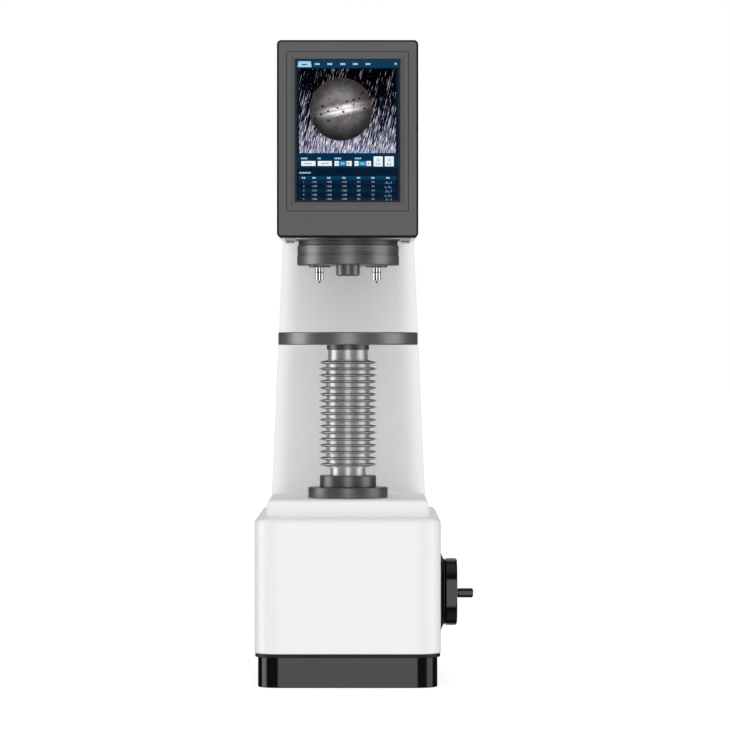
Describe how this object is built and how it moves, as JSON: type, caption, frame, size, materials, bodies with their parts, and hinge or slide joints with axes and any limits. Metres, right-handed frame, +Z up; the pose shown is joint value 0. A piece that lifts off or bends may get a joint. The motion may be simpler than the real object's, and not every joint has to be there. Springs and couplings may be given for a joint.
{
  "type": "bench hardness tester",
  "caption": "Bench hardness tester with a C-shaped column on a box base, a handwheel-raised anvil under a bellows-guarded screw, an indexing turret and a touch screen head.",
  "frame": {"origin": "on the bench plane, where the vertical test axis of the anvil and load spindle meets it", "axes": "+Z up along the test axis, +X to the operator's right on the handwheel's side, +Y away from the operator towards the rear panel"},
  "size_m": [0.2528, 0.4065, 0.7415],
  "materials": {
    "white_paint": "smooth semi-gloss white enamel",
    "black_gloss": "gloss black enamel",
    "head_grey": "fine-textured dark grey enamel",
    "dark_anodised": "black anodised, turned",
    "blackened_steel": "blackened, turned",
    "chrome": "polished",
    "bright_steel": "bright, turned",
    "plain_steel": "machined",
    "zinc_sheet": "zinc plated",
    "iron": "machined cast iron",
    "bronze": "machined bronze",
    "carbide": "polished dark ball",
    "black_plastic": "fine matte",
    "bezel_plastic": "satin",
    "circuit_board": "solder mask",
    "screen_glass": "clear, glossy",
    "lens_glass": "coated",
    "panel": "display panel"
  },
  "bodies": {
    "frame": {"base_plate": "plain_steel", "levelling_screws": "plain_steel", "plinth_skirt": "black_gloss", "base_casting": "white_paint", "base_rear_panel": "zinc_sheet", "cover_screws": "plain_steel", "frame_casting": "white_paint", "frame_bolts": "plain_steel", "rear_cover": "white_paint", "power_inlet": "black_plastic", "switch_body": "black_plastic", "data_ports": "zinc_sheet", "power_supply": "zinc_sheet", "control_board": "circuit_board", "nut_housing": "iron", "thrust_bearing": "bright_steel", "shaft_bearings": "bright_steel", "bearing_flange": "black_gloss", "guide_key": "plain_steel", "base_flange": "blackened_steel", "guide_collar": "blackened_steel", "lower_sleeve": "chrome", "bellows": "bright_steel", "display_housing": "head_grey", "display_bezel": "bezel_plastic", "touch_glass": "screen_glass", "lcd_panel": "panel", "turret_ring": "dark_anodised", "turret_bearing": "bright_steel", "turret_motor": "black_plastic", "spindle_guide": "bronze", "guide_rods": "bright_steel", "load_plate": "plain_steel", "load_motor": "black_plastic"},
    "handwheel": {"handwheel": "black_gloss", "handwheel_shaft": "plain_steel", "bevel_pinion": "plain_steel", "grip_spindle": "plain_steel"},
    "grip": {"grip_sleeve": "black_plastic"},
    "nut": {"screw_nut": "bronze", "bevel_gear": "plain_steel"},
    "screw": {"elevating_screw": "plain_steel", "upper_sleeve": "chrome", "anvil_hub": "blackened_steel"},
    "anvil": {"anvil": "blackened_steel"},
    "turret": {"turret_body": "dark_anodised", "turret_axle": "plain_steel", "objective_barrel": "dark_anodised", "objective_lens": "lens_glass", "camera_module": "black_plastic", "indenter_bushes": "dark_anodised"},
    "left_indenter": {"left_indenter": "chrome", "left_ball": "carbide"},
    "right_indenter": {"right_indenter": "chrome", "right_ball": "carbide"},
    "load_train": {"load_spindle": "plain_steel", "load_cell": "plain_steel", "crosshead": "plain_steel"},
    "ball_screw": {"ball_screw": "bright_steel"},
    "rocker": {"switch_rocker": "black_plastic"}
  },
  "joints": [
    {"name": "handwheel_turn", "type": "hinge", "parent": "frame", "child": "handwheel", "pos_m": [0.12, 0, 0.1045], "axis": [-1, 0, 0], "range_deg": [-11525, 7205]},
    {"name": "screw_lift", "type": "slide", "parent": "frame", "child": "screw", "axis": [0, 0, 1], "range_m": [-0.08, 0.05], "deforming": ["bellows"]},
    {"name": "nut_spin", "type": "hinge", "parent": "frame", "child": "nut", "pos_m": [0, 0, 0.15], "axis": [0, 0, 1], "range_deg": [-5765, 3605]},
    {"name": "anvil_swivel", "type": "hinge", "parent": "screw", "child": "anvil", "pos_m": [0, 0, 0.4], "axis": [0, 0, 1], "continuous": true},
    {"name": "grip_spin", "type": "hinge", "parent": "handwheel", "child": "grip", "pos_m": [0.136, -0.027, 0.1045], "axis": [1, 0, 0], "continuous": true},
    {"name": "turret_index", "type": "hinge", "parent": "frame", "child": "turret", "pos_m": [0, 0.0337, 0.5], "axis": [0, 0, 1], "range_deg": [-90, 90]},
    {"name": "left_press", "type": "slide", "parent": "turret", "child": "left_indenter", "axis": [0, 0, 1], "range_m": [-0.002, 0], "stiffness_N_per_m": 3000},
    {"name": "right_press", "type": "slide", "parent": "turret", "child": "right_indenter", "axis": [0, 0, 1], "range_m": [-0.002, 0], "stiffness_N_per_m": 3000},
    {"name": "load_feed", "type": "slide", "parent": "frame", "child": "load_train", "axis": [0, 0, 1], "range_m": [-0.0065, 0]},
    {"name": "ball_screw_spin", "type": "hinge", "parent": "frame", "child": "ball_screw", "pos_m": [0, 0, 0.66], "axis": [0, 0, 1], "range_deg": [-5, 600]},
    {"name": "mains_switch", "type": "hinge", "parent": "frame", "child": "rocker", "pos_m": [-0.008, 0.287, 0.084], "axis": [1, 0, 0], "range_deg": [-8, 8]}
  ],
  "couplings": [
    {"joint": "handwheel_turn", "follows": "screw_lift", "rad_per_m": 2513.3},
    {"joint": "nut_spin", "follows": "screw_lift", "rad_per_m": 1256.6},
    {"joint": "ball_screw_spin", "follows": "load_feed", "rad_per_m": -1570.8}
  ]
}
